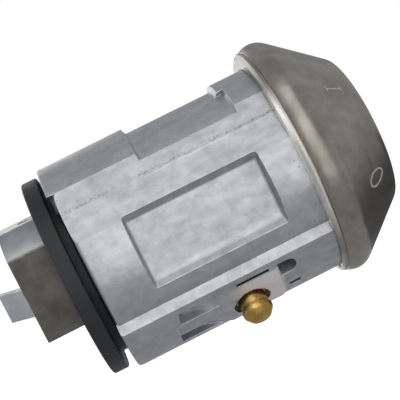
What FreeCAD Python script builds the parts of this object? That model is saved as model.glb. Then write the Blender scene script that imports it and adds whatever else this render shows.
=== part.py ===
import FreeCAD, Part
import math
import os
import Sketcher
from FreeCAD import Placement, Rotation, Vector

# Ignition lock barrel. The lock's axis is X, the key goes in from +X, +Z is up.
# The origin is on the axis, at the rear face of the housing. Sizes are in millimetres.
# An elevation is an angle round the axis from -Y, positive towards +Z.

doc = FreeCAD.newDocument("LockBarrel")
sheet = doc.addObject("Spreadsheet::Sheet", "dims")

sizes = [
    # housing, a die casting whose die opens along the detent pin
    ("bodyLength", 29.3, "rear face to the cap's seat"),
    ("bodyRadius", 13.9, "round body"),
    ("rimRound", 0.6, "rounding of the rear rim"),
    ("pinElevation", -62.0, "elevation of the detent pin and of the die's opening"),
    ("lipReach", 0.7, "how far the upper half of the rear rim stands out"),
    ("lipInner", 12.7, "its inner radius"),
    ("lipRound", 0.3, "rounding of its edge"),
    ("lipStart", 0.9, "die's parting plane to the lip's lower end"),
    ("lipFull", 3.4, "parting plane to where the lip runs into the body"),
    ("lipStrip", 0.45, "how far its lower end stands out, beside the flats"),
    ("flatElevation", 26.0, "elevation that the near parting flat faces"),
    ("flatDistance", 13.36, "axis to each parting flat"),
    ("flatHalfWidth", 6.0, "half width of the cut that makes a flat"),
    ("rearWall", 2.4, "wall that the plug's neck passes"),
    ("spigotRadius", 12.5, "spigot inside the cap"),
    ("spigotLength", 4.7, "seat to the spigot's end"),
    ("snapPlace", 1.6, "seat to the groove for the cap's bead"),
    ("snapDepth", 0.3, "depth of that groove"),
    ("snapWidth", 0.8, "width of that groove"),
    ("pocketElevation", -8.4, "middle of the side pocket"),
    ("pocketStart", 6.2, "rear end of the side pocket"),
    ("pocketEnd", 24.9, "front end of the side pocket"),
    ("pocketHeight", 10.1, "height of the pocket at the surface"),
    ("pocketFloor", 12.0, "axis to the pocket's floor"),
    ("pocketSide", 1.15, "how far its long walls lean in"),
    ("pocketEndLean", 0.35, "how far its end walls lean in"),
    ("pocketRound", 0.45, "fillet in the pocket"),
    ("pocketSweep", 1.3, "wide fillet along its lower wall"),
    ("recessRadius", 13.1, "floor of the top recess"),
    ("recessSide", 2.3, "side of the recess above the parting plane"),
    ("recessFar", 5.0, "its far side"),
    ("recessStart", 11.5, "rear end of the recess"),
    ("recessEnd", 24.4, "front end of the recess"),
    ("recessStep", 0.9, "how much further its lower part goes"),
    ("recessSplit", 7.3, "parting plane to the top of that lower part"),
    ("recessLean", 0.35, "how far its end walls lean in"),
    ("recessRound", 0.25, "fillet at its ends"),
    # rail along the underside, with its channel, and the boss round the pin
    ("railRadius", 15.1, "outer face of the rail"),
    ("railHalfWidth", 4.97, "half width at the outer face"),
    ("railDraft", 8.0, "draft of the rail's sides"),
    ("railRound", 0.35, "rounding of the rear rim"),
    ("railCorner", 1.2, "rounding of the far rear corner"),
    ("channelStart", 6.5, "rear end of the channel"),
    ("channelEnd", 23.5, "front end of the channel"),
    ("channelFloor", 13.5, "axis to the channel's floor"),
    ("frontFloor", 11.9, "axis to the floor of the pocket in front of the boss"),
    ("channelEdge", 4.18, "near side of the channel"),
    ("ribNear", 1.72, "near side of the channel's rib"),
    ("ribFar", 0.97, "far side of the channel's rib"),
    ("ribHeight", 14.85, "axis to the top of the rib"),
    ("channelFar", 3.3, "far side of the channel"),
    ("notchStart", 21.9, "small notch in front of the boss"),
    ("notchWidth", 1.1, "width of that notch"),
    ("channelLean", 1.4, "lean of the channel's rear end"),
    ("bossStart", 14.6, "rear end of the boss, where its ramp ends"),
    ("bossRamp", 5.4, "length of the ramp up to the boss"),
    ("bossEnd", 21.2, "front end of the boss"),
    ("bossRadius", 15.55, "outer face of the boss"),
    ("bossEdge", 14.5, "parting plane to its low near edge"),
    ("bossRound", 0.6, "rounding of its front edges"),
    ("slitWidth", 0.36, "slit between boss and channel side"),
    ("slitStart", 15.4, "rear end of that slit"),
    ("slitEnd", 19.9, "front end of that slit"),
    # detent pin and its bore
    ("pinPosition", 16.6, "rear face to the pin's axis"),
    ("pinRadius", 2.05, "detent pin, where it is guided and at its head"),
    ("pinWaist", 1.87, "detent pin behind its head"),
    ("pinHead", 0.35, "straight part of the head"),
    ("pinFlare", 0.5, "length of the flare from waist to head"),
    ("pinFlange", 2.62, "flange that keeps it in"),
    ("flangeHeight", 0.8, "height of that flange"),
    ("pinTip", 18.25, "axis to the pin's tip"),
    ("pinFoot", 13.2, "axis to the pin's foot"),
    ("pinChamfer", 1.05, "cone at the tip"),
    ("pinLean", 0.8, "how far that cone leans in"),
    ("pinCrown", 0.75, "rounding at both ends of that cone"),
    ("pinTravel", 2.6, "how far the pin can be pressed"),
    ("pinBore", 1.45, "spring bore in the pin"),
    ("pinBoreDepth", 3.4, "depth of that bore"),
    ("pinGap", 0.07, "running gap round the pin"),
    ("wellFloor", 10.5, "axis to the floor of the pin's well"),
    ("detentTurns", 6.0, "turns of the detent spring"),
    ("detentWire", 0.19, "its wire's radius"),
    ("detentPlay", 0.15, "gap round it in the pin's bore"),
    ("mouthSink", 0.6, "depth of the sink at the mouth"),
    ("mouthRing", 0.45, "width of that sink"),
    # plug
    ("plugRadius", 8.0, "barrel of the plug"),
    ("plugGap", 0.05, "running gap round the plug"),
    ("plugPlay", 0.1, "plug's shoulder to the rear wall"),
    ("neckRadius", 5.0, "neck in the rear wall"),
    ("tailRadius", 4.0, "tail in the driver"),
    ("tailLength", 7.0, "rear face to the tail's end"),
    ("plugFlange", 9.4, "flange that seats in the housing"),
    ("plugFlangeThick", 2.2, "thickness of that flange"),
    ("plugReach", 10.05, "seat to the plug's front end"),
    ("flangeSink", 0.15, "flange below the spigot's end"),
    ("leadBevel", 0.5, "bevels that lead into a bore"),
    ("headRadius", 7.85, "head in front of the flange"),
    ("keyElevation", -34.2, "elevation of the keyway's index at rest"),
    ("keywayWidth", 2.7, "width of the keyway"),
    ("keywayHeight", 9.2, "height of the keyway"),
    ("keywayDepth", 33.2, "depth of the keyway from the front end"),
    # wafers and their springs
    ("waferFirst", 8.0, "rear face to the first wafer"),
    ("waferPitch", 2.5, "from wafer to wafer"),
    ("waferThick", 0.9, "thickness of a wafer"),
    ("waferWidth", 7.0, "width of a wafer"),
    ("waferFlush", 0.1, "wafer's end below the plug's surface"),
    ("waferGap", 0.05, "gap round a wafer in its slot"),
    ("waferTravel", 0.9, "how far a wafer comes out"),
    ("windowWidth", 3.0, "window for the key"),
    ("windowHeight", 8.0, "height of that window"),
    ("codeStep", 0.3, "one step of the key's code"),
    ("earLength", 1.6, "ear beside the wafer"),
    ("earHeight", 1.2, "height of the ear"),
    ("springRadius", 0.65, "outer radius of a wafer spring"),
    ("springWire", 0.12, "its wire's radius"),
    ("springLength", 2.5, "its length with the key in"),
    ("springTurns", 4.0, "its turns"),
    ("springPlay", 0.02, "gap at each end of a spring"),
    ("wellGap", 0.12, "gap round a spring in its well"),
    ("grooveWidth", 7.7, "groove in the housing for the wafers"),
    ("grooveRadius", 9.2, "axis to the groove's floor"),
    ("grooveMargin", 0.8, "groove beyond the outer wafers"),
    # cap
    ("capLength", 11.1, "seat to the cap's front"),
    ("capSeatInner", 14.0, "inner edge of the raised seat ring"),
    ("capSeatRadius", 15.35, "outer edge of the seat ring"),
    ("capSeatRise", 0.12, "height of the seat ring"),
    ("capSeatGap", 11.0, "gap in the seat ring for the rail"),
    ("capLip", 0.55, "depth of the rear lip"),
    ("capLipRadius", 16.05, "lip's outer edge"),
    ("capLineDepth", 0.14, "fine groove in front of the lip"),
    ("capLineWidth", 0.16, "width of that groove"),
    ("capConeDrop", 6.14, "lip's edge to the cone's radius at the front"),
    ("capConeAngle", 39.9, "cone's half angle"),
    ("capShoulderAngle", 30.6, "slope of the shoulder behind the cone"),
    ("capShoulderRound", 2.7, "rounding of the shoulder"),
    ("capFrontRound", 2.0, "rounding of the front edge"),
    ("capOpening", 8.15, "opening in front"),
    ("capLand", 1.9, "length of the opening's wall"),
    ("capInner", 9.6, "inner radius behind the opening"),
    ("capFit", 0.04, "gap between cap and spigot"),
    ("beadLean", 0.1, "gap beside the cap's bead, whose sides lean"),
    ("capSoft", 0.4, "rounding of the opening"),
    # face trim and shutter
    ("trimThick", 0.8, "thickness of the face trim"),
    ("trimRadius", 7.9, "its radius"),
    ("trimBevel", 0.25, "bevel of its front edge"),
    ("keyholeWidth", 3.0, "keyhole in the trim"),
    ("keyholeHeight", 9.4, "height of the keyhole"),
    ("chamberDepth", 6.15, "chamber for the shutter"),
    ("chamberNear", 2.3, "its side away from the hinge"),
    ("chamberFar", 4.0, "its side at the hinge"),
    ("chamberHeight", 10.0, "its height"),
    ("hingeSide", 2.75, "plug's axis to the shutter's hinge"),
    ("hingeSet", 1.05, "hinge behind the plug's front end"),
    ("hingePin", 0.5, "radius of the hinge pin"),
    ("hingePinLength", 11.8, "length of the hinge pin"),
    ("hingeBevel", 0.12, "bevel of its ends"),
    ("hingeGap", 0.05, "gap round the hinge pin"),
    ("knuckleRadius", 0.95, "knuckle of the shutter"),
    ("knuckleLength", 2.5, "length of each knuckle"),
    ("shutterThick", 0.7, "thickness of the shutter"),
    ("shutterGap", 0.1, "shutter behind the face trim"),
    ("coilGap", 0.2, "room round the leg spring"),
    ("shutterReach", 4.75, "hinge to the shutter's free edge"),
    ("shutterHeight", 9.5, "height of the shutter"),
    ("legCoil", 0.82, "middle radius of the leg spring"),
    ("legWire", 0.12, "its wire's radius"),
    ("legTurns", 5.0, "its turns"),
    ("legPitch", 0.36, "from turn to turn"),
    ("legLength", 2.9, "its long leg"),
    ("legSlope", 16.0, "slope of that leg to the shutter"),
    # tail end
    ("clipGap", 0.15, "housing to the retaining clip"),
    ("clipThick", 0.8, "thickness of the clip"),
    ("clipPlay", 0.05, "gap each side of the clip in its groove"),
    ("clipRadius", 6.6, "outer radius of the clip"),
    ("clipGroove", 4.2, "groove for the clip"),
    ("clipMouth", 3.0, "mouth of the clip"),
    ("discGap", 1.2, "housing to the rear disc"),
    ("discRadius", 13.8, "rear disc"),
    ("discThick", 2.1, "its thickness"),
    ("discBevel", 0.15, "bevel of its rims"),
    ("discDrop", 0.65, "middle of its rim below the axis at rest"),
    ("hubRadius", 11.6, "raised hub on the disc's front"),
    ("hubInner", 7.2, "room in the hub for the clip"),
    ("hubGap", 0.2, "housing to the hub"),
    ("driverRadius", 9.27, "driver"),
    ("driverLength", 5.4, "disc to the driver's end"),
    ("driverElevation", -10.3, "direction that its main flat faces at rest"),
    ("driverFlat", 7.33, "axis to the main flat"),
    ("driverUnder", 5.67, "axis to the flat below"),
    ("driverTop", 8.78, "axis to the flat above"),
    ("tongueLength", 3.3, "tongue"),
    ("tongueWidth", 3.8, "width of the tongue"),
    ("tongueThick", 1.9, "thickness of the tongue"),
    ("tongueRoot", 7.2, "axis to its outer side at the root"),
    ("tongueTip", 3.6, "axis to its outer side at the tip"),
    ("crossPin", 0.8, "radius of the cross pin"),
    ("crossPinSlot", 0.3, "slit along the cross pin"),
    ("crossPinPlace", 5.2, "rear face to the cross pin"),
    ("crossPinLength", 13.0, "length of the cross pin"),
    ("crossPinShift", 1.4, "its middle above the axis"),
    ("weld", 0.05, "overlap of blocks that are joined"),
    ("reach", 20.0, "length that takes a cut clear of everything"),
]

# the same wafer code from rear to front, in steps
waferCode = [0, 2, 1, 3, 0, 1, 3, 2]

for row, (alias, size, meaning) in enumerate(sizes, 1):
    sheet.set("A%d" % row, meaning)
    sheet.set("B%d" % row, str(size))
    sheet.setAlias("B%d" % row, alias)
doc.recompute()


def value(formula):
    return float(sheet.evalExpression(formula))


def turn(angle):
    # a turn about the lock's axis that raises the elevation of everything by angle
    return Placement(Vector(0, 0, 0), Rotation(Vector(1, 0, 0), -angle))


def bind(feature, **formulas):
    for prop, formula in formulas.items():
        feature.setExpression(prop.replace("_", "."), formula)


def originPlane(body, role):
    return [plane for plane in body.Origin.OriginFeatures if plane.Role == role][0]


def outline(body, name, role, corners):
    # a closed outline on one of the body's own planes, each corner tied to the sheet
    sketch = body.newObject("Sketcher::SketchObject", name)
    sketch.AttachmentSupport = [(originPlane(body, role), "")]
    sketch.MapMode = "FlatFace"
    places = [Vector(value(across), value(up), 0) for across, up in corners]
    count = len(places)
    for n in range(count):
        sketch.addGeometry(Part.LineSegment(places[n], places[(n + 1) % count]), False)
    for n in range(count):
        sketch.addConstraint(Sketcher.Constraint("Coincident", n, 2, (n + 1) % count, 1))
    for n, (across, up) in enumerate(corners):
        for kind, formula, size in (("DistanceX", across, places[n].x), ("DistanceY", up, places[n].y)):
            index = sketch.addConstraint(Sketcher.Constraint(kind, -1, 1, n, 1, size))
            sketch.setExpression("Constraints[%d]" % index, formula)
    return sketch


def turned(name, corners):
    # a body turned about the lock's axis from (place along the axis, radius) corners
    body = doc.addObject("PartDesign::Body", name)
    sketch = outline(body, name + "Profile", "XY_Plane", corners)
    spin = body.newObject("PartDesign::Revolution", name + "Spin")
    spin.Profile = sketch
    spin.ReferenceAxis = (sketch, ["H_Axis"])
    spin.Angle = 360
    doc.recompute()
    return body


def ringEdges(shape, place, radius):
    # names of the round edges at one place along the axis
    found = []
    for n, edge in enumerate(shape.Edges, 1):
        curve = edge.Curve
        if isinstance(curve, Part.Circle) and abs(curve.Radius - radius) < 0.01:
            if abs(curve.Center.x - place) < 0.01:
                found.append("Edge%d" % n)
    return found


def roundRing(body, name, place, radius, formula):
    base = body.Tip
    fillet = body.newObject("PartDesign::Fillet", name)
    fillet.Base = (base, ringEdges(base.Shape, place, radius))
    fillet.setExpression("Radius", formula)
    doc.recompute()


def bevelRing(body, name, place, radius, formula):
    base = body.Tip
    chamfer = body.newObject("PartDesign::Chamfer", name)
    chamfer.Base = (base, ringEdges(base.Shape, place, radius))
    chamfer.setExpression("Size", formula)
    doc.recompute()


def box(name, xs, ys, zs):
    solid = doc.addObject("Part::Box", name)
    bind(solid, Length="(%s) - (%s)" % (xs[1], xs[0]), Width="(%s) - (%s)" % (ys[1], ys[0]))
    bind(solid, Height="(%s) - (%s)" % (zs[1], zs[0]))
    bind(solid, Placement_Base_x=xs[0], Placement_Base_y=ys[0], Placement_Base_z=zs[0])
    return solid


def rod(name, radius, start, end):
    # a cylinder along the lock's axis
    solid = doc.addObject("Part::Cylinder", name)
    bind(solid, Radius=radius, Height="(%s) - (%s)" % (end, start))
    solid.Placement = Placement(Vector(0, 0, 0), Rotation(Vector(0, 1, 0), 90))
    bind(solid, Placement_Base_x=start)
    return solid


def post(name, radius, x, y, start, end):
    # a cylinder along Z
    solid = doc.addObject("Part::Cylinder", name)
    bind(solid, Radius=radius, Height="(%s) - (%s)" % (end, start))
    bind(solid, Placement_Base_x=x, Placement_Base_y=y, Placement_Base_z=start)
    return solid


def frustum(name, xs, zs, ys, xsInner, zsInner):
    # a block whose outer side is at ys[0] and whose smaller inner side is at ys[1]
    solid = doc.addObject("Part::Wedge", name)
    bind(solid, Xmin=xs[0], Xmax=xs[1], Zmin=zs[0], Zmax=zs[1], Ymin=ys[0], Ymax=ys[1])
    bind(solid, X2min=xsInner[0], X2max=xsInner[1], Z2min=zsInner[0], Z2max=zsInner[1])
    return solid


def joined(name, pieces):
    whole = doc.addObject("Part::MultiFuse", name)
    whole.Shapes = pieces
    return whole


def shared(name, pieces):
    whole = doc.addObject("Part::MultiCommon", name)
    whole.Shapes = pieces
    return whole


def placed(name, piece, place):
    # a primitive's own place is tied to the sheet, so it is turned as a group of one
    group = doc.addObject("Part::Compound", name)
    group.Links = [piece]
    group.Placement = place
    return group


def without(name, piece, tool):
    rest = doc.addObject("Part::Cut", name)
    rest.Base = piece
    rest.Tool = tool
    return rest


nodes = []


def keep(feature, name, place=Placement()):
    # a finished piece, named and set in its place
    feature.Placement = place
    feature.Label = name
    nodes.append(feature)
    return feature


dieTurn = "dims.pinElevation + 90"
keyTurn = "dims.keyElevation + 90"
spigotEnd = "dims.bodyLength + dims.spigotLength"
capFront = "dims.bodyLength + dims.capLength"
plugEnd = "dims.bodyLength + dims.plugReach"
flangeFront = "%s - dims.flangeSink" % spigotEnd
flangeRear = "%s - dims.plugFlangeThick" % flangeFront
hingeX = "%s - dims.hingeSet" % plugEnd
snapStart = "dims.bodyLength + dims.snapPlace"
snapEnd = "%s + dims.snapWidth" % snapStart
lastWafer = "dims.waferFirst + %d * dims.waferPitch" % (len(waferCode) - 1)


def makeHousing():
    # drawn with the die opening along Z and the detent pin pointing to -Z
    core = turned("core", [
        ("0", "0"),
        ("0", "dims.bodyRadius"),
        ("dims.bodyLength", "dims.bodyRadius"),
        ("dims.bodyLength", "dims.spigotRadius"),
        (snapStart, "dims.spigotRadius"),
        (snapStart, "dims.spigotRadius - dims.snapDepth"),
        (snapEnd, "dims.spigotRadius - dims.snapDepth"),
        (snapEnd, "dims.spigotRadius"),
        (spigotEnd, "dims.spigotRadius"),
        (spigotEnd, "0"),
    ])
    roundRing(core, "coreRim", 0, value("dims.bodyRadius"), "dims.rimRound")
    bevelRing(core, "spigotLead", value(spigotEnd), value("dims.spigotRadius"), "dims.leadBevel")
    flatNear = box("flatNear", ("-dims.lipReach - 1", "dims.bodyLength"), ("-dims.reach", "-dims.flatDistance"),
                   ("-dims.flatHalfWidth", "dims.flatHalfWidth"))
    flatFar = box("flatFar", ("-dims.lipReach - 1", "dims.bodyLength"), ("dims.flatDistance", "dims.reach"),
                  ("-dims.flatHalfWidth", "dims.flatHalfWidth"))
    flats = joined("flats", [flatNear, flatFar])
    flats.Placement = turn(value("dims.flatElevation - dims.pinElevation - 90"))
    pocket = frustum(
        "pocket", ("dims.pocketStart", "dims.pocketEnd"),
        ("-dims.pocketHeight / 2 - dims.pocketSide", "dims.pocketHeight / 2 + dims.pocketSide"),
        ("-dims.bodyRadius - 0.4", "-dims.pocketFloor"),
        ("dims.pocketStart + dims.pocketEndLean", "dims.pocketEnd - dims.pocketEndLean"),
        ("-dims.pocketHeight / 2 + dims.pocketSide", "dims.pocketHeight / 2 - dims.pocketSide"))
    doc.recompute()
    softPocket = doc.addObject("Part::Fillet", "softPocket")
    softPocket.Base = pocket
    size = value("dims.pocketRound")
    wide = value("dims.pocketSweep")
    floorPlace = -value("dims.pocketFloor")
    lowWall = -value("dims.pocketHeight / 2 - dims.pocketSide")
    rounds = []
    for n, edge in enumerate(pocket.Shape.Edges, 1):
        ends = [vertex.Point for vertex in edge.Vertexes]
        if max(end.y for end in ends) > floorPlace - 0.01:
            low = all(abs(end.z - lowWall) < 0.01 for end in ends)
            rounds.append((n, wide, wide) if low else (n, size, size))
    softPocket.Edges = rounds
    softPocket.Placement = turn(value("dims.pocketElevation - dims.pinElevation - 90"))

    # top recess: turned, kept above the parting plane, and longer in its lower part
    outside = "dims.bodyRadius + 1"
    recesses = []
    for label, start, end, top in (
            ("recess", "dims.recessStart", "dims.recessEnd", "dims.reach"),
            ("longRecess", "dims.recessStart + 1", "dims.recessEnd + dims.recessStep", "dims.recessSplit")):
        ring = turned(label + "Ring", [
            (start + " - dims.recessLean", outside),
            (start + " + dims.recessLean", "dims.recessRadius"),
            (end + " - dims.recessLean", "dims.recessRadius"),
            (end + " + dims.recessLean * 1.5", outside),
        ])
        roundRing(ring, label + "Front", value(end + " - dims.recessLean"), value("dims.recessRadius"),
                  "dims.recessRound")
        if label == "recess":
            roundRing(ring, "recessRear", value("dims.recessStart + dims.recessLean"), value("dims.recessRadius"),
                      "dims.recessRound")
        over = box(label + "Over", ("0", "dims.bodyLength"), ("-dims.reach", "dims.recessFar"),
                   ("dims.recessSide", top))
        recesses.append(shared(label + "Cut", [ring, over]))
    topRecess = joined("topRecess", recesses)

    # rear lip on the upper half: flush with the body above the flats, a lower strip beside them
    lipRing = turned("lipRing", [
        ("-dims.lipReach", "dims.lipInner"),
        ("-dims.lipReach", "dims.bodyRadius"),
        ("dims.rimRound", "dims.bodyRadius"),
        ("dims.rimRound", "dims.lipInner"),
    ])
    roundRing(lipRing, "lipRim", -value("dims.lipReach"), value("dims.bodyRadius"), "dims.lipRound")
    lipTop = box("lipTop", ("-dims.lipReach - 1", "dims.rimRound + 1"), ("-dims.reach", "dims.reach"),
                 ("dims.lipFull", "dims.reach"))
    stripRing = turned("stripRing", [
        ("-dims.lipStrip", "dims.lipInner"),
        ("-dims.lipStrip", "dims.lipInner + dims.weld"),
        ("dims.weld", "dims.flatDistance - dims.weld"),
        ("dims.weld", "dims.lipInner"),
    ])
    stripRange = box("stripRange", ("-dims.lipReach - 1", "1"), ("-dims.reach", "dims.reach"),
                     ("dims.lipStart", "dims.lipFull + dims.weld"))
    lip = joined("lip", [shared("fullLip", [lipRing, lipTop]), shared("lipSides", [stripRing, stripRange])])

    # the rail: drafted sides and a round outer face
    railSides = doc.addObject("PartDesign::Body", "railSides")
    slope = " * tan(dims.railDraft)"
    section = outline(railSides, "railSection", "YZ_Plane", [
        ("-dims.railHalfWidth + 1" + slope, "-dims.railRadius - 1"),
        ("dims.railHalfWidth - 1" + slope, "-dims.railRadius - 1"),
        ("dims.railHalfWidth + 6" + slope, "-dims.railRadius + 6"),
        ("-dims.railHalfWidth - 6" + slope, "-dims.railRadius + 6"),
    ])
    railPad = railSides.newObject("PartDesign::Pad", "railPad")
    railPad.Profile = section
    railPad.setExpression("Length", "dims.bodyLength")
    doc.recompute()
    railCorner = railSides.newObject("PartDesign::Fillet", "railCorner")
    railCorner.Base = (railPad, [
        "Edge%d" % n for n, edge in enumerate(railPad.Shape.Edges, 1)
        if abs(edge.BoundBox.XMax) < 0.01 and edge.BoundBox.YMin > 0 and edge.BoundBox.ZLength > 1])
    railCorner.setExpression("Radius", "dims.railCorner")
    railRound = turned("railRound", [
        ("0", "0"),
        ("0", "dims.railRadius"),
        ("dims.bodyLength", "dims.railRadius"),
        ("dims.bodyLength", "0"),
    ])
    roundRing(railRound, "railRim", 0, value("dims.railRadius"), "dims.railRound")
    rail = shared("rail", [railSides, railRound])

    # a wedge is drawn with its depth along Y, so it is laid over, which turns Z into -Y
    laidOver = Placement(Vector(0, 0, 0), Rotation(Vector(1, 0, 0), 90))
    nearGroove = frustum(
        "nearGroove", ("dims.channelStart", "dims.bossStart"), ("dims.ribNear", "dims.channelEdge"),
        ("-dims.railRadius - 1", "-dims.channelFloor"),
        ("dims.channelStart + dims.channelLean", "dims.bossStart"),
        ("dims.ribNear", "dims.channelEdge"))
    nearGroove.Placement = laidOver
    frontPocket = frustum(
        "frontPocket", ("dims.bossEnd - 0.5", "dims.channelEnd"), ("dims.ribNear", "dims.channelEdge"),
        ("-dims.railRadius - 1", "-dims.frontFloor"),
        ("dims.bossEnd - 0.5", "dims.channelEnd"), ("dims.ribNear", "dims.channelEdge"))
    frontPocket.Placement = laidOver
    doc.recompute()
    softFront = doc.addObject("Part::Fillet", "softFront")
    softFront.Base = frontPocket
    pocketFront = value("dims.channelEnd")
    endRound = value("(dims.channelEdge - dims.ribNear) * 0.45")
    softFront.Edges = [
        (n, endRound, endRound) for n, edge in enumerate(frontPocket.Shape.Edges, 1)
        if edge.BoundBox.XMin > pocketFront - 0.01 and edge.BoundBox.YLength < 0.01]
    ribCut = box("ribCut", ("dims.channelStart", "dims.bossStart"), ("-dims.ribNear", "dims.ribFar"),
                 ("-dims.railRadius - 1", "-dims.ribHeight"))
    farGroove = box("farGroove", ("dims.channelStart", "dims.bossStart"), ("dims.ribFar", "dims.channelFar"),
                    ("-dims.railRadius - 1", "-dims.channelFloor"))
    notch = box("notch", ("dims.notchStart", "dims.channelEnd"),
                ("dims.ribFar", "dims.ribFar + dims.notchWidth"), ("-dims.railRadius - 1", "-dims.channelFloor"))
    boss = doc.addObject("PartDesign::Body", "bossBlock")
    bossSide = outline(boss, "bossSide", "XZ_Plane", [
        ("dims.bossStart - dims.bossRamp", "-dims.channelFloor + 0.5"),
        ("dims.bossStart - dims.bossRamp", "-dims.channelFloor"),
        ("dims.bossStart", "-dims.bossRadius - 0.05"),
        ("dims.bossEnd", "-dims.bossRadius - 0.05"),
        ("dims.bossEnd", "-dims.channelFloor + 0.5"),
    ])
    bossPad = boss.newObject("PartDesign::Pad", "bossPad")
    bossPad.Profile = bossSide
    bossPad.setExpression("Length", "dims.channelEdge + dims.channelFar")
    bind(boss, Placement_Base_y="dims.channelFar")
    bossRound = rod("bossRound", "dims.bossRadius", "0", "dims.bodyLength")
    bossRoof = doc.addObject("PartDesign::Body", "bossRoof")
    roofSide = outline(bossRoof, "roofSide", "YZ_Plane", [
        ("-dims.channelEdge - 1", "0"),
        ("-dims.channelEdge - 1", "-dims.bossEdge"),
        ("-dims.channelEdge", "-dims.bossEdge"),
        ("-dims.ribNear", "-dims.bossRadius - dims.weld"),
        ("dims.reach", "-dims.bossRadius - dims.weld"),
        ("dims.reach", "0"),
    ])
    roofPad = bossRoof.newObject("PartDesign::Pad", "roofPad")
    roofPad.Profile = roofSide
    roofPad.setExpression("Length", "dims.bodyLength")
    bossShape = shared("boss", [boss, bossRound, bossRoof])
    doc.recompute()
    softBoss = doc.addObject("Part::Fillet", "softBoss")
    softBoss.Base = bossShape
    size = value("dims.bossRound")
    frontSide = value("dims.bossEnd")
    deepest = -value("dims.channelFloor") - 0.5
    softBoss.Edges = [
        (n, size, size) for n, edge in enumerate(bossShape.Shape.Edges, 1)
        if edge.BoundBox.XMin > frontSide - 0.01 and edge.BoundBox.ZMax < deepest]
    slit = box("bossSlit", ("dims.slitStart", "dims.slitEnd"), ("-dims.channelEdge", "-dims.channelEdge + dims.slitWidth"),
               ("-dims.bossRadius - 1", "-dims.channelFloor"))
    openBoss = without("openBoss", softBoss, slit)

    # bores along the lock's axis
    mainBore = rod("mainBore", "dims.plugRadius + dims.plugGap", "dims.rearWall", spigotEnd + " + 1")
    neckBore = rod("neckBore", "dims.neckRadius + dims.plugGap", "-1", "dims.rearWall + 1")
    flangeBore = rod("flangeBore", "dims.plugFlange + dims.plugGap", flangeRear + " - dims.plugGap", spigotEnd + " + 1")
    grooves = box("waferGrooves",
                  ("dims.waferFirst - dims.waferThick / 2 - dims.grooveMargin",
                   lastWafer + " + dims.waferThick / 2 + dims.grooveMargin"),
                  ("-dims.grooveWidth / 2", "dims.grooveWidth / 2"),
                  ("-dims.grooveRadius", "dims.grooveRadius"))
    grooveTool = placed("grooveTool", grooves, turn(value("dims.keyElevation - dims.pinElevation")))

    # the pin's well, its narrower mouth and the sink round it
    well = post("well", "dims.pinFlange + dims.pinGap", "dims.pinPosition", "0",
                "-dims.pinFoot - dims.flangeHeight - dims.pinGap", "-dims.wellFloor")
    mouth = post("mouth", "dims.pinRadius + dims.pinGap", "dims.pinPosition", "0",
                 "-dims.reach", "-dims.wellFloor - 1")
    sink = post("sink", "dims.pinRadius + dims.mouthRing", "dims.pinPosition", "0",
                "-dims.reach", "-dims.bossRadius + dims.mouthSink")

    blank = joined("blank", [core, lip, rail])
    cuts = joined("outsideCuts", [flats, softPocket, topRecess, nearGroove, softFront, ribCut, farGroove, notch])
    shell = joined("shell", [without("carved", blank, cuts), openBoss])
    bores = joined("bores", [mainBore, neckBore, flangeBore, grooveTool, well, mouth, sink])
    housing = without("housingShape", shell, bores)
    keep(housing, "housing", turn(value(dieTurn)))


def makeCap():
    # corner where the cone and the shoulder's slope would meet, before the rounding
    rise = "tan(dims.capShoulderAngle)"
    fall = "tan(dims.capConeAngle)"
    coneRadius = "(dims.capLipRadius - dims.capConeDrop)"
    lineEnd = "dims.bodyLength + dims.capLip + dims.capLineWidth"
    cornerX = ("(%s + (%s) * %s - dims.capLipRadius + (%s) * %s) / (%s + %s)"
               % (coneRadius, capFront, fall, lineEnd, rise, fall, rise))
    cornerR = "%s + (%s - %s) * %s" % (coneRadius, capFront, cornerX, fall)
    pocketRadius = "dims.spigotRadius + dims.capFit"
    bead = "%s - dims.snapDepth" % pocketRadius
    seat = "dims.bodyLength - dims.capSeatRise"
    body = turned("capBlank", [
        ("dims.bodyLength", pocketRadius),
        ("dims.bodyLength", "dims.capSeatInner"),
        (seat, "dims.capSeatInner"),
        (seat, "dims.capSeatRadius"),
        ("dims.bodyLength + dims.capLip * 0.45",
         "dims.capSeatRadius + (dims.capLipRadius - dims.capSeatRadius) * 0.8"),
        ("dims.bodyLength + dims.capLip", "dims.capLipRadius"),
        ("dims.bodyLength + dims.capLip + dims.capLineWidth / 2", "dims.capLipRadius - dims.capLineDepth"),
        (lineEnd, "dims.capLipRadius"),
        (cornerX, cornerR),
        (capFront, coneRadius),
        (capFront, "dims.capOpening"),
        (capFront + " - dims.capLand", "dims.capOpening"),
        (capFront + " - dims.capLand", "dims.capInner"),
        (spigotEnd + " + dims.capFit", pocketRadius),
        (snapEnd + " - dims.beadLean", pocketRadius),
        (snapEnd + " - 2.5 * dims.beadLean", bead),
        (snapStart + " + 2.5 * dims.beadLean", bead),
        (snapStart + " + dims.beadLean", pocketRadius),
    ])
    roundRing(body, "capShoulder", value(cornerX), value(cornerR), "dims.capShoulderRound")
    roundRing(body, "capFrontEdge", value(capFront), value(coneRadius), "dims.capFrontRound")
    roundRing(body, "capOpeningEdge", value(capFront), value("dims.capOpening"), "dims.capSoft")
    railGap = box("railGap", (seat + " - 1", "dims.bodyLength"), ("-dims.capSeatGap / 2", "dims.capSeatGap / 2"),
                  ("-dims.reach", "-dims.bodyRadius / 2"))
    keep(without("capShape", body, railGap), "cap", turn(value(dieTurn)))


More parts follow.
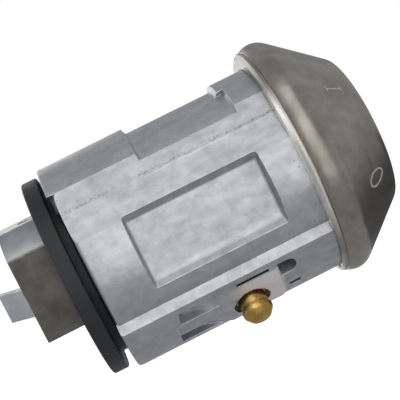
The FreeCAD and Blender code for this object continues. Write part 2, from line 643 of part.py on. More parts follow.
def makePlug():
    # drawn with the keyway upright, its index to -Z
    clipRear = "-dims.clipGap - dims.clipThick - dims.clipPlay"
    body = turned("plugBlank", [
        ("-dims.tailLength", "0"),
        ("-dims.tailLength", "dims.tailRadius"),
        ("-dims.discGap", "dims.tailRadius"),
        ("-dims.discGap", "dims.neckRadius"),
        (clipRear, "dims.neckRadius"),
        (clipRear, "dims.clipGroove"),
        ("-dims.clipGap + dims.clipPlay", "dims.clipGroove"),
        ("-dims.clipGap + dims.clipPlay", "dims.neckRadius"),
        ("dims.rearWall + dims.plugPlay", "dims.neckRadius"),
        ("dims.rearWall + dims.plugPlay", "dims.plugRadius"),
        (flangeRear, "dims.plugRadius"),
        (flangeRear, "dims.plugFlange"),
        (flangeFront, "dims.plugFlange"),
        (flangeFront, "dims.headRadius"),
        (plugEnd, "dims.headRadius"),
        (plugEnd, "0"),
    ])
    bevelRing(body, "plugLead", value("dims.rearWall + dims.plugPlay"), value("dims.plugRadius"), "dims.leadBevel")
    bevelRing(body, "tailLead", value("-dims.tailLength"), value("dims.tailRadius"), "dims.leadBevel")
    keyway = box("keyway", (plugEnd + " - dims.keywayDepth", plugEnd + " + 1"),
                 ("-dims.keywayWidth / 2", "dims.keywayWidth / 2"),
                 ("-dims.keywayHeight / 2", "dims.keywayHeight / 2"))
    chamber = box("chamber", (plugEnd + " - dims.chamberDepth", plugEnd + " + 1"),
                  ("-dims.chamberNear", "dims.chamberFar"),
                  ("-dims.chamberHeight / 2", "dims.chamberHeight / 2"))
    hinge = post("hingeHole", "dims.hingePin", hingeX, "dims.hingeSide",
                 "-dims.hingePinLength / 2", "dims.hingePinLength / 2")
    crossHole = post("crossHole", "dims.crossPin", "-dims.crossPinPlace", "0", "-dims.reach", "dims.reach")
    crossTool = placed("crossTool", crossHole, turn(value("dims.driverElevation - (%s)" % keyTurn)))
    tools = [keyway, chamber, hinge, crossTool]
    for n in range(len(waferCode)):
        tools.extend(waferSlot(n))
    keep(without("plugShape", body, joined("plugCuts", tools)), "plug", turn(value(keyTurn)))


def waferPlace(n):
    return "dims.waferFirst + %d * dims.waferPitch" % n


def waferTurn(n):
    # odd wafers come out on the index side, even ones on the other
    return Placement(Vector(0, 0, 0), Rotation(Vector(1, 0, 0), 180 * (n % 2)))


earFoot = "-dims.earHeight / 2"
springFoot = "%s - dims.springLength" % earFoot
springSide = "dims.waferWidth / 2 + dims.earLength / 2 + dims.waferGap"


def waferSlot(n):
    # the slot right across the plug, the ear's slot open to one side and the spring's well
    middle = waferPlace(n)
    near = "%s - dims.waferThick / 2 - dims.waferGap" % middle
    far = "%s + dims.waferThick / 2 + dims.waferGap" % middle
    slot = box("slot%d" % n, (near, far),
               ("-dims.waferWidth / 2 - dims.waferGap", "dims.waferWidth / 2 + dims.waferGap"),
               ("-dims.reach / 2", "dims.reach / 2"))
    earSlot = box("earSlot%d" % n, (near, far),
                  ("0", "dims.waferWidth / 2 + dims.earLength + 2 * dims.waferGap"),
                  (earFoot + " - 0.1", "dims.reach / 2"))
    well = post("springWell%d" % n, "dims.springRadius + dims.wellGap", middle, springSide,
                springFoot, earFoot)
    shape = joined("slotTool%d" % n, [slot, earSlot, well])
    shape.Placement = waferTurn(n)
    return [shape]


def makeWafer(n):
    middle = waferPlace(n)
    near = "%s - dims.waferThick / 2" % middle
    far = "%s + dims.waferThick / 2" % middle
    blank = box("waferBlank%d" % n, (near, far), ("-dims.waferWidth / 2", "dims.waferWidth / 2"),
                ("-dims.reach / 2", "dims.reach / 2"))
    round = rod("waferRound%d" % n, "dims.plugRadius - dims.waferFlush", near, far)
    ear = box("waferEar%d" % n, (near, far), ("0", "dims.waferWidth / 2 + dims.earLength"),
              (earFoot, "dims.earHeight / 2"))
    shift = "%d * dims.codeStep - 1.5 * dims.codeStep" % waferCode[n]
    window = box("waferWindow%d" % n, (near + " - 1", far + " + 1"),
                 ("-dims.windowWidth / 2", "dims.windowWidth / 2"),
                 ("-dims.windowHeight / 2 + " + shift, "dims.windowHeight / 2 + " + shift))
    plate = joined("waferPlate%d" % n, [shared("waferDisc%d" % n, [blank, round]), ear])
    wafer = without("waferShape%d" % n, plate, window)
    keep(wafer, "wafer_%d" % (n + 1), turn(value(keyTurn)).multiply(waferTurn(n)))


def coil(name, middleRadius, wire, length, turns):
    # an upright coil spring, from z = 0
    path = doc.addObject("Part::Helix", name + "Path")
    bind(path, Radius=middleRadius, Height=length, Pitch="(%s) / (%s)" % (length, turns))
    section = doc.addObject("Part::Circle", name + "Section")
    bind(section, Radius=wire)
    section.Placement = Placement(Vector(0, 0, 0), Rotation(Vector(1, 0, 0), 90))
    bind(section, Placement_Base_x=middleRadius)
    sweep = doc.addObject("Part::Sweep", name)
    sweep.Sections = [section]
    sweep.Spine = (path, ["Edge1"])
    sweep.Solid = True
    sweep.Frenet = True
    return sweep


def makeWaferSpring(n):
    spring = coil("waferCoil%d" % n, "dims.springRadius - dims.springWire", "dims.springWire",
                  "dims.springLength - 2 * dims.springWire - 2 * dims.springPlay", "dims.springTurns")
    seat = Vector(value(waferPlace(n)), value(springSide), value(springFoot + " + dims.springWire + dims.springPlay"))
    place = turn(value(keyTurn)).multiply(waferTurn(n)).multiply(Placement(seat, Rotation()))
    keep(spring, "wafer_spring_%d" % (n + 1), place)


def makeTrim():
    front = plugEnd + " + dims.trimThick"
    disc = turned("trimDisc", [
        (plugEnd, "0"),
        (plugEnd, "dims.trimRadius"),
        (front, "dims.trimRadius"),
        (front, "0"),
    ])
    bevelRing(disc, "trimEdge", value(front), value("dims.trimRadius"), "dims.trimBevel")
    hole = box("keyhole", (plugEnd + " - 1", front + " + 1"), ("-dims.keyholeWidth / 2", "dims.keyholeWidth / 2"),
               ("-dims.keyholeHeight / 2", "dims.keyholeHeight / 2"))
    keep(without("trimShape", disc, hole), "face_trim", turn(value(keyTurn)))


def makeShutter():
    plateFront = plugEnd + " - dims.shutterGap"
    half = "dims.shutterHeight / 2"
    plate = box("shutterPlate", (plateFront + " - dims.shutterThick", plateFront),
                ("dims.hingeSide - dims.shutterReach", "dims.hingeSide"), ("-" + half, half))
    upper = post("upperKnuckle", "dims.knuckleRadius", hingeX, "dims.hingeSide",
                 half + " - dims.knuckleLength", half)
    lower = post("lowerKnuckle", "dims.knuckleRadius", hingeX, "dims.hingeSide",
                 "-" + half, "-" + half + " + dims.knuckleLength")
    room = "(dims.knuckleRadius + dims.coilGap)"
    coilRoom = box("coilRoom", (hingeX + " - " + room, hingeX + " + " + room),
                   ("dims.hingeSide - " + room, "dims.hingeSide + " + room),
                   ("-" + half + " + dims.knuckleLength", half + " - dims.knuckleLength"))
    eye = post("shutterEye", "dims.hingePin + dims.hingeGap", hingeX, "dims.hingeSide",
               "-dims.reach / 2", "dims.reach / 2")
    flap = without("openPlate", plate, coilRoom)
    shape = without("shutterShape", joined("shutterBlank", [flap, upper, lower]), eye)
    keep(shape, "shutter", turn(value(keyTurn)))
    pinEnd = "dims.hingePinLength / 2"
    pin = turned("shutterPin", [
        ("-" + pinEnd, "0"),
        ("-" + pinEnd, "dims.hingePin"),
        (pinEnd, "dims.hingePin"),
        (pinEnd, "0"),
    ])
    bevelRing(pin, "shutterPinFoot", -value(pinEnd), value("dims.hingePin"), "dims.hingeBevel")
    bevelRing(pin, "shutterPinHead", value(pinEnd), value("dims.hingePin"), "dims.hingeBevel")
    upright = Placement(Vector(value(hingeX), value("dims.hingeSide"), 0), Rotation(Vector(0, 1, 0), 90))
    keep(pin, "shutter_pin", turn(value(keyTurn)).multiply(upright))


def makeShutterSpring():
    # a coil round the hinge pin, its long leg behind the shutter and the short one on the chamber's side
    radius = value("dims.legCoil")
    long = value("dims.legLength")
    turns = int(value("dims.legTurns"))
    rise = value("dims.legPitch") / 16
    top = rise * turns * 16
    way = [Vector(radius, -long / 3 * share, 0) for share in (1, 0.7, 0.4, 0.15)]
    for n in range(turns * 16 + 1):
        angle = math.radians(22.5 * n)
        way.append(Vector(radius * math.cos(angle), radius * math.sin(angle), rise * n))
    way += [Vector(radius, long * share, top) for share in (0.05, 0.15, 0.4, 0.7, 1)]
    line = Part.BSplineCurve()
    line.interpolate(way)
    path = doc.addObject("Part::Feature", "legPath")
    path.Shape = Part.Wire([line.toShape()])
    section = doc.addObject("Part::Circle", "legSection")
    bind(section, Radius="dims.legWire")
    section.Placement = Placement(way[0], Rotation(Vector(1, 0, 0), 90))
    spring = doc.addObject("Part::Sweep", "legSpring")
    spring.Sections = [section]
    spring.Spine = (path, ["Edge1"])
    spring.Solid = True
    spring.Frenet = False
    seat = Vector(value(hingeX), value("dims.hingeSide"), -top / 2)
    seated = Placement(seat, Rotation(Vector(0, 0, 1), 180 + value("dims.legSlope")))
    keep(spring, "shutter_spring", turn(value(keyTurn)).multiply(seated))


def makeDetent():
    length = "dims.pinTip - dims.pinFoot"
    guideEnd = "dims.bossRadius - dims.mouthSink - dims.pinFoot"
    headStart = length + " - dims.pinChamfer - dims.pinHead"
    body = turned("detentPin", [
        ("0", "dims.pinBore"),
        ("0", "dims.pinFlange"),
        ("dims.flangeHeight", "dims.pinFlange"),
        ("dims.flangeHeight", "dims.pinRadius"),
        (guideEnd, "dims.pinRadius"),
        (guideEnd, "dims.pinWaist"),
        (headStart + " - dims.pinFlare", "dims.pinWaist"),
        (headStart, "dims.pinRadius"),
        (length + " - dims.pinChamfer", "dims.pinRadius"),
        (length, "dims.pinRadius - dims.pinLean"),
        (length, "0"),
        ("dims.pinBoreDepth", "0"),
        ("dims.pinBoreDepth", "dims.pinBore"),
    ])
    roundRing(body, "pinCone", value(length + " - dims.pinChamfer"), value("dims.pinRadius"), "dims.pinCrown")
    roundRing(body, "pinEnd", value(length), value("dims.pinRadius - dims.pinLean"), "dims.pinCrown")
    roundRing(body, "pinThroat", value(headStart + " - dims.pinFlare"), value("dims.pinWaist"), "dims.pinCrown / 2")
    outward = Placement(Vector(value("dims.pinPosition"), 0, -value("dims.pinFoot")), Rotation(Vector(0, 1, 0), 90))
    keep(body, "detent_pin", turn(value(dieTurn)).multiply(outward))
    free = "dims.pinFoot + dims.pinBoreDepth - dims.wellFloor"
    wire = "dims.detentWire"
    spring = coil("detentCoil", "dims.pinBore - dims.detentPlay - " + wire, wire,
                  "%s - 2 * %s - 2 * dims.springPlay" % (free, wire), "dims.detentTurns")
    seat = Placement(Vector(value("dims.pinPosition"), 0,
                            -value(free + " + dims.wellFloor - %s - dims.springPlay" % wire)), Rotation())
    keep(spring, "detent_spring", turn(value(dieTurn)).multiply(seat))


def makeTail():
    discFront = "-dims.discGap"
    discRear = "-dims.discGap - dims.discThick"
    disc = turned("discBlank", [
        (discRear, "0"),
        (discRear, "dims.discRadius"),
        (discFront, "dims.discRadius"),
        (discFront, "dims.hubRadius"),
        ("-dims.hubGap", "dims.hubRadius"),
        ("-dims.hubGap", "0"),
    ])
    bevelRing(disc, "discRearRim", value(discRear), value("dims.discRadius"), "dims.discBevel")
    bevelRing(disc, "discFrontRim", value(discFront), value("dims.discRadius"), "dims.discBevel")
    disc.Placement = Placement(Vector(0, 0, -value("dims.discDrop")), Rotation())
    discBore = rod("discBore", "dims.tailRadius + dims.plugGap", discRear + " - 1", "1")
    clipRoom = rod("clipRoom", "dims.hubInner", discFront, "1")
    keep(without("rearDisc", disc, joined("discCuts", [discBore, clipRoom])), "rear_disc")

    # driver: drawn with its main flat to -Y
    end = "%s - dims.driverLength" % discRear
    block = rod("driverRound", "dims.driverRadius", end, discRear)
    flats = box("driverFlats", (end, discRear), ("-dims.driverFlat", "dims.reach"),
                ("-dims.driverUnder", "dims.driverTop"))
    body = shared("driverBlock", [block, flats])
    tongue = doc.addObject("PartDesign::Body", "tongueBody")
    side = outline(tongue, "tongueSide", "XY_Plane", [
        (end + " + 0.5", "-dims.tongueRoot"),
        (end, "-dims.tongueRoot"),
        (end + " - dims.tongueLength", "-dims.tongueTip"),
        (end + " - dims.tongueLength", "-dims.tongueTip + dims.tongueThick"),
        (end, "-dims.tongueRoot + dims.tongueThick"),
        (end + " + 0.5", "-dims.tongueRoot + dims.tongueThick"),
    ])
    pad = tongue.newObject("PartDesign::Pad", "tonguePad")
    pad.Profile = side
    pad.setExpression("Length", "dims.tongueWidth")
    pad.Midplane = True
    bore = rod("tailBore", "dims.tailRadius + dims.plugGap", "-dims.tailLength - dims.plugPlay", "0")
    crossHole = post("driverCrossHole", "dims.crossPin", "-dims.crossPinPlace", "0", "-dims.reach", "dims.reach")
    driver = without("driverShape", joined("driverSolid", [body, tongue]), joined("driverCuts", [bore, crossHole]))
    keep(driver, "driver", turn(value("dims.driverElevation")))

    pin = post("crossPinShape", "dims.crossPin", "-dims.crossPinPlace", "0",
               "-dims.crossPinLength / 2 + dims.crossPinShift", "dims.crossPinLength / 2 + dims.crossPinShift")
    slit = box("crossPinSlit", ("-dims.crossPinPlace - dims.crossPinSlot / 2", "-dims.crossPinPlace + dims.crossPinSlot / 2"),
               ("0", "dims.reach"), ("-dims.reach", "dims.reach"))
    core = post("crossPinCore", "dims.crossPin / 2", "-dims.crossPinPlace", "0", "-dims.reach", "dims.reach")
    keep(without("crossPin", pin, joined("crossPinCuts", [slit, core])), "cross_pin",
         turn(value("dims.driverElevation")))

    # retaining clip in the plug's groove, with an ear at each side of its mouth
    clipFront = "-dims.clipGap"
    clipRear = "-dims.clipGap - dims.clipThick"
    ring = rod("clipRing", "dims.clipRadius", clipRear, clipFront)
    inner = rod("clipInner", "dims.clipGroove + dims.clipPlay", clipRear + " - 1", clipFront + " + 1")
    mouth = box("clipMouthCut", (clipRear + " - 1", clipFront + " + 1"),
                ("-dims.clipMouth / 2", "dims.clipMouth / 2"), ("0", "dims.reach"))
    clip = without("clipShape", ring, joined("clipCuts", [inner, mouth]))
    keep(clip, "retaining_clip", turn(value(keyTurn)))


makeHousing()
makeCap()
makePlug()
for n in range(len(waferCode)):
    makeWafer(n)
    makeWaferSpring(n)
makeTrim()
makeShutter()
makeShutterSpring()
makeDetent()
makeTail()
doc.recompute()

for feature in doc.Objects:
    if "Invalid" in feature.State or "Error" in feature.State:
        raise RuntimeError("%s failed: %s" % (feature.Name, feature.State))
for feature in nodes:
    shape = feature.Shape
    if shape.isNull() or not shape.isValid() or len(shape.Solids) != 1:
        raise RuntimeError("%s is not one sound solid: %d" % (feature.Label, len(shape.Solids)))

os.makedirs("parts", exist_ok=True)
for feature in nodes:
    feature.Shape.exportStep("parts/%s.step" % feature.Label)
    print("%-16s %9.2f mm3" % (feature.Label, feature.Shape.Volume))
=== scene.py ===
import math

import bmesh
import bpy
from mathutils import Matrix, Vector


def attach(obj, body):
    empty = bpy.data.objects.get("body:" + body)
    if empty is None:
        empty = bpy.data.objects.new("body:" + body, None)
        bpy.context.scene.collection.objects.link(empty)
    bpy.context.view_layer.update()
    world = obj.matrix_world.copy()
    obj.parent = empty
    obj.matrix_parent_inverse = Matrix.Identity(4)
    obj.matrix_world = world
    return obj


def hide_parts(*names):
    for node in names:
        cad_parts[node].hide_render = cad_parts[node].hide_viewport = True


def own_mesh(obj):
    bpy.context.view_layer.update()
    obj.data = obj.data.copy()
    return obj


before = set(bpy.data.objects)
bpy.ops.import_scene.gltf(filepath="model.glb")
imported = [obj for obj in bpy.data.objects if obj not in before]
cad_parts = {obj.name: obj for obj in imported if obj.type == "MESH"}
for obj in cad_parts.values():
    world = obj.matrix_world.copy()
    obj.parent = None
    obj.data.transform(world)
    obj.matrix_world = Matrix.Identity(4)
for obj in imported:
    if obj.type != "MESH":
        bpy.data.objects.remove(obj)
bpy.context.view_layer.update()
print("frame loaded:", len(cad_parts), "nodes")

mm = 0.001
deg = math.pi / 180


# ---- camera: the photograph's own view, found from the barrel's edges and the cap's rim ----
camera = {
    "place": (6.61, -158.6, -4.40),  # mm
    "tilt": 1.92,  # degrees, as are the next two
    "turn": -3.69,
    "roll": 26.6,
    "lens": 108.0,  # mm
    "sensor": 36.0,  # mm
    "clip": (10.0, 5000.0),  # mm
}


def rotation(angle, axis, size=4):
    return Matrix.Rotation(angle * deg, size, axis)


def makeCamera():
    data = bpy.data.cameras.new("photoCamera")
    data.lens = camera["lens"]
    data.sensor_width = camera["sensor"]
    data.clip_start, data.clip_end = (end * mm for end in camera["clip"])
    eye = bpy.data.objects.new("photoCamera", data)
    bpy.context.collection.objects.link(eye)
    turned = rotation(camera["tilt"], "X") @ rotation(camera["turn"], "Z")
    turned = turned @ rotation(90, "X") @ rotation(-camera["roll"], "Z")
    eye.matrix_world = Matrix.Translation(Vector(camera["place"]) * mm) @ turned
    bpy.context.scene.camera = eye


makeCamera()
print("camera set")


# ---- small helpers for shader trees ----
def setInput(tree, socket, given):
    # a number or colour is set on the socket, and anything else is linked to it
    if isinstance(given, (int, float)):
        socket.default_value = given
    elif isinstance(given, tuple):
        socket.default_value = (*given, 1)
    else:
        tree.links.new(given, socket)


def addMath(tree, operation, a, b=None):
    node = tree.nodes.new("ShaderNodeMath")
    node.operation = operation
    setInput(tree, node.inputs[0], a)
    if b is not None:
        setInput(tree, node.inputs[1], b)
    return node.outputs[0]


def product(tree, *parts):
    total = parts[0]
    for part in parts[1:]:
        total = addMath(tree, "MULTIPLY", total, part)
    return total


def addRange(tree, given, low, high, toLow=0.0, toHigh=1.0):
    node = tree.nodes.new("ShaderNodeMapRange")
    node.clamp = True
    tree.links.new(given, node.inputs["Value"])
    ends = {"From Min": low, "From Max": high, "To Min": toLow, "To Max": toHigh}
    for label, value in ends.items():
        node.inputs[label].default_value = value
    return node.outputs["Result"]


def addDot(tree, vector, direction):
    node = tree.nodes.new("ShaderNodeVectorMath")
    node.operation = "DOT_PRODUCT"
    tree.links.new(vector, node.inputs[0])
    node.inputs[1].default_value = direction
    return node.outputs["Value"]


def addNoise(tree, vector, scale, detail=3.0, roughness=0.55):
    node = tree.nodes.new("ShaderNodeTexNoise")
    node.inputs["Detail"].default_value = detail
    node.inputs["Roughness"].default_value = roughness
    setInput(tree, node.inputs["Scale"], scale)
    tree.links.new(vector, node.inputs["Vector"])
    return node.outputs["Fac"]


def blendColours(tree, factor, low, high):
    mix = tree.nodes.new("ShaderNodeMix")
    mix.data_type = "RGBA"
    tree.links.new(factor, mix.inputs["Factor"])
    setInput(tree, mix.inputs["A"], low)
    setInput(tree, mix.inputs["B"], high)
    return mix.outputs["Result"]


def addBump(tree, height, strength, distance, normal=None):
    bump = tree.nodes.new("ShaderNodeBump")
    bump.inputs["Strength"].default_value = strength
    bump.inputs["Distance"].default_value = distance * mm
    tree.links.new(height, bump.inputs["Height"])
    if normal is not None:
        tree.links.new(normal, bump.inputs["Normal"])
    return bump.outputs["Normal"]


def newMaterial(name):
    material = bpy.data.materials.new(name)
    material.use_nodes = True
    return material, material.node_tree, material.node_tree.nodes["Principled BSDF"]


# ---- studio: a white room, soft lamps, and grey cards that only show in the metal ----
studio = {
    "middle": (15, 0, 0),  # mm: what the lamps and cards face
    "roomGrey": 0.5,
    "floorDrop": 42.0,  # mm below the axis
    "floorSize": 6000.0,  # mm
    "floorGrey": 0.86,
    "floorRoughness": 0.9,
    "floorGlow": 0.75,
    "cardTint": (1.0, 1.02, 1.05),
    # name, heading from the front and elevation in degrees, distance and size in mm, brightness
    "lamps": [
        ("keyLamp", -16, 32, 420, 600, 0.32),
        ("backLamp", 204, 18, 400, 300, 1.1),
        ("leftLamp", -98, 16, 400, 200, 0.8),
    ],
    # name, heading and elevation in degrees, distance, width and height in mm, grey
    "cards": [
        ("overCard", 0, 104, 400, 1300, 620, 0.43),
        ("backCard", 180, 20, 520, 1400, 800, 0.34),
        ("rightCard", 92, 14, 400, 760, 700, 0.50),
        ("underCard", 0, -88, 34, 170, 130, 0.38),
        ("frontLeftCard", -57, 22, 450, 440, 520, 0.42),
        ("frontRightCard", 56, 22, 450, 440, 520, 0.42),
    ],
    # name, near and far corner in mm, height, grey; they lie just above the floor
    "sheets": [
        ("rightSheet", (100, -330), (520, -2), -39, 0.60),
        ("farRightSheet", (55, -2), (520, 500), -32, 0.09),
        ("frontLeftSheet", (-400, -650), (-25, -70), -39, 0.40),
        ("leftSheet", (-450, -70), (-72, 400), -39, 0.25),
    ],
}


def pathMask(tree):
    # 1 for what the camera sees directly, in a mirror or through glass
    path = tree.nodes.new("ShaderNodeLightPath").outputs
    seen = addMath(tree, "MAXIMUM", path["Is Camera Ray"], path["Is Glossy Ray"])
    return addMath(tree, "MAXIMUM", seen, path["Is Transmission Ray"])


def aim(thing, heading, elevation, distance):
    # puts a lamp or card round the barrel's middle, and faces it there
    way = rotation(heading, "Z", 3) @ rotation(-elevation, "X", 3) @ Vector((0, -1, 0))
    thing.location = (Vector(studio["middle"]) + way * distance) * mm
    thing.rotation_euler = (-way).to_track_quat("-Z", "Y").to_euler()


def glowing(name, colour):
    paper, tree, surface = newMaterial(name)
    tree.nodes.remove(surface)
    glow = tree.nodes.new("ShaderNodeEmission")
    glow.inputs["Color"].default_value = (*colour, 1)
    tree.links.new(glow.outputs[0], tree.nodes["Material Output"].inputs["Surface"])
    return paper


def newPiece(name, shape):
    mesh = bpy.data.meshes.new(name)
    shape.to_mesh(mesh)
    shape.free()
    piece = bpy.data.objects.new(name, mesh)
    bpy.context.collection.objects.link(piece)
    return piece


def sheet(name, width, height):
    shape = bmesh.new()
    bmesh.ops.create_grid(shape, x_segments=1, y_segments=1, size=0.5 * mm)
    bmesh.ops.scale(shape, vec=(width, height, 1), verts=shape.verts)
    return newPiece(name, shape)


def reflected(card, grey):
    colour = tuple(grey * part for part in studio["cardTint"])
    card.data.materials.append(glowing(card.name + "Paper", colour))
    card.visible_camera = False
    card.visible_diffuse = False
    card.visible_shadow = False
    return card


def makeFloorPaper():
    paper, tree, surface = newMaterial("floorPaper")
    setInput(tree, surface.inputs["Base Color"], (studio["floorGrey"],) * 3)
    surface.inputs["Roughness"].default_value = studio["floorRoughness"]
    glow = tree.nodes.new("ShaderNodeEmission")
    glow.inputs["Strength"].default_value = studio["floorGlow"]
    lift = tree.nodes.new("ShaderNodeAddShader")
    tree.links.new(surface.outputs[0], lift.inputs[0])
    tree.links.new(glow.outputs[0], lift.inputs[1])
    pick = tree.nodes.new("ShaderNodeMixShader")
    tree.links.new(pathMask(tree), pick.inputs[0])
    tree.links.new(surface.outputs[0], pick.inputs[1])
    tree.links.new(lift.outputs[0], pick.inputs[2])
    tree.links.new(pick.outputs[0], tree.nodes["Material Output"].inputs["Surface"])
    return paper


def makeStudio():
    world = bpy.data.worlds.new("studioWorld")
    bpy.context.scene.world = world
    world.use_nodes = True
    tree = world.node_tree
    room = blendColours(tree, pathMask(tree), (studio["roomGrey"],) * 3, (1.0, 1.0, 1.0))
    tree.links.new(room, tree.nodes["Background"].inputs["Color"])

    for name, heading, elevation, distance, size, brightness in studio["lamps"]:
        data = bpy.data.lights.new(name, "AREA")
        data.shape = "SQUARE"
        data.size = size * mm
        data.energy = brightness * math.pi * (size * mm) ** 2
        lamp = bpy.data.objects.new(name, data)
        bpy.context.collection.objects.link(lamp)
        aim(lamp, heading, elevation, distance)

    for name, heading, elevation, distance, width, height, grey in studio["cards"]:
        aim(reflected(sheet(name, width, height), grey), heading, elevation, distance)
    for name, near, far, height, grey in studio["sheets"]:
        lying = reflected(sheet(name, far[0] - near[0], far[1] - near[1]), grey)
        lying.location = Vector((near[0] + far[0], near[1] + far[1], 2 * height)) / 2 * mm

    floor = sheet("studioFloor", studio["floorSize"], studio["floorSize"])
    floor.location = Vector((0, 0, -studio["floorDrop"])) * mm
    floor.data.materials.append(makeFloorPaper())


makeStudio()
bpy.context.scene.view_settings.view_transform = "Standard"
print("studio set")


# ---- effects shared by the finishes ----
castSkin = {
    "pitCells": 9.0,  # cells of the pits to one patch
    "pitSize": (0.10, 0.22),
    "pitShare": (0.58, 0.66),  # the higher, the fewer pits
    "patchSpread": (0.3, 0.7),
}
rubbingAndGlint = {"roundness": (0.995, 0.90), "patchiness": (0.35, 0.6)}
turning = {"drift": 0.12}  # mm: how far a ring's pattern drifts in one radian


def newGroup(name, inputs, outputs):
    tree = bpy.data.node_groups.new(name, "ShaderNodeTree")
    inputs = [("Vector", (0, 0, 0))] + inputs
    for label, value in inputs:
        kind = "NodeSocketVector" if label == "Vector" else "NodeSocketFloat"
        socket = tree.interface.new_socket(name=label, in_out="INPUT", socket_type=kind)
        socket.default_value = value
    for label in outputs:
        kind = "NodeSocketVector" if label == "Normal" else "NodeSocketFloat"
        tree.interface.new_socket(name=label, in_out="OUTPUT", socket_type=kind)
    given = tree.nodes.new("NodeGroupInput").outputs
    return tree, given, tree.nodes.new("NodeGroupOutput").inputs


def makeCastGrain():
    # cloudy casting skin: large patches, fine grain and small pits
    inputs = [("Patch Scale", 180.0), ("Grain Scale", 2600.0), ("Pits", 0.3)]
    tree, given, made = newGroup("castGrain", inputs, ["Patches", "Height", "Pit Mask"])
    patches = addNoise(tree, given["Vector"], given["Patch Scale"], 4.0, 0.6)
    grain = addNoise(tree, given["Vector"], given["Grain Scale"], 2.0)
    cells = tree.nodes.new("ShaderNodeTexVoronoi")
    tree.links.new(given["Vector"], cells.inputs["Vector"])
    cellScale = product(tree, given["Patch Scale"], castSkin["pitCells"])
    tree.links.new(cellScale, cells.inputs["Scale"])
    spots = addRange(tree, cells.outputs["Distance"], *castSkin["pitSize"], 1.0, 0.0)
    scatter = addNoise(tree, given["Vector"], given["Patch Scale"], 2.0)
    rare = addRange(tree, scatter, *castSkin["pitShare"])
    pits = product(tree, spots, rare, given["Pits"])
    height = addMath(tree, "SUBTRACT", product(tree, grain, 0.5), pits)
    tree.links.new(addRange(tree, patches, *castSkin["patchSpread"]), made["Patches"])
    tree.links.new(height, made["Height"])
    tree.links.new(pits, made["Pit Mask"])
    return tree


def makeEdgeWearAndGlint():
    # bright worn edges, which the zinc also uses as painted edge highlights: where a rounded normal
    # leaves the true one
    inputs = [("Scale", 900.0), ("Radius", 0.00015)]
    tree, given, made = newGroup("edgeWearAndGlint", inputs, ["Mask", "Normal"])
    bevel = tree.nodes.new("ShaderNodeBevel")
    bevel.samples = 6
    tree.links.new(given["Radius"], bevel.inputs["Radius"])
    trueNormal = tree.nodes.new("ShaderNodeNewGeometry").outputs["Normal"]
    dot = tree.nodes.new("ShaderNodeVectorMath")
    dot.operation = "DOT_PRODUCT"
    tree.links.new(bevel.outputs["Normal"], dot.inputs[0])
    tree.links.new(trueNormal, dot.inputs[1])
    edge = addRange(tree, dot.outputs["Value"], *rubbingAndGlint["roundness"])
    patchy = addNoise(tree, given["Vector"], given["Scale"], 4.0)
    rubAndGlint = addRange(tree, patchy, *rubbingAndGlint["patchiness"])
    tree.links.new(product(tree, edge, rubAndGlint), made["Mask"])
    tree.links.new(bevel.outputs["Normal"], made["Normal"])
    return tree


def hypotenuse(tree, a, b):
    square = addMath(tree, "ADD", product(tree, a, a), product(tree, b, b))
    return addMath(tree, "SQRT", square)


def makeTurnedLines():
    # fine rings left by turning or polishing on a lathe, round the X axis
    tree, given, made = newGroup("turnedLines", [("Scale", 9000.0)], ["Lines"])
    split = tree.nodes.new("ShaderNodeSeparateXYZ")
    tree.links.new(given["Vector"], split.inputs[0])
    across, upward = split.outputs["Y"], split.outputs["Z"]
    radius = hypotenuse(tree, across, upward)
    angle = addMath(tree, "ARCTAN2", upward, across)
    ring = tree.nodes.new("ShaderNodeCombineXYZ")
    tree.links.new(split.outputs["X"], ring.inputs["X"])
    tree.links.new(radius, ring.inputs["Y"])
    tree.links.new(product(tree, angle, turning["drift"] * mm), ring.inputs["Z"])
    tree.links.new(addNoise(tree, ring.outputs[0], given["Scale"], 3.0, 0.6), made["Lines"])
    return tree


castGrain = makeCastGrain()
edgeWearAndGlint = makeEdgeWearAndGlint()
turnedLines = makeTurnedLines()
print("shared effects made")


def startFinish(name, metallic=1.0):
    finish, tree, surface = newMaterial(name)
    surface.inputs["Metallic"].default_value = metallic
    return finish, tree, surface, tree.nodes.new("ShaderNodeTexCoord").outputs["Object"]


def useGroup(tree, group, place, **values):
    node = tree.nodes.new("ShaderNodeGroup")
    node.node_tree = group
    tree.links.new(place, node.inputs["Vector"])
    for label, value in values.items():
        node.inputs[label.replace("_", " ")].default_value = value
    return node.outputs


def useGrain(tree, place, look):
    patchScale, grainScale, pits = look["grain"]
    return useGroup(tree, castGrain, place,
                    Patch_Scale=patchScale, Grain_Scale=grainScale, Pits=pits)


def useWearAndGlint(tree, place, look):
    scale, radius = look["wearAndGlint"]
    return useGroup(tree, edgeWearAndGlint, place, Scale=scale, Radius=radius * mm)


def noiseMask(tree, place, scale, detail, roughness, low, high):
    return addRange(tree, addNoise(tree, place, scale, detail, roughness), low, high)


def axisPlace(tree, place):
    return addDot(tree, place, (1, 0, 0))


def faceHeight(tree, place, elevation):
    # how far out a point is, along the direction that a face looks in
    angle = elevation * deg
    return addDot(tree, place, (0, -math.cos(angle), math.sin(angle)))


def faceSide(tree, place, elevation):
    # how far to its near side a point is on that face
    angle = elevation * deg
    return addDot(tree, place, (0, math.sin(angle), math.cos(angle)))


def cover(node, finish):
    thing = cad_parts[node]
    thing.data.materials.clear()
    thing.data.materials.append(finish)


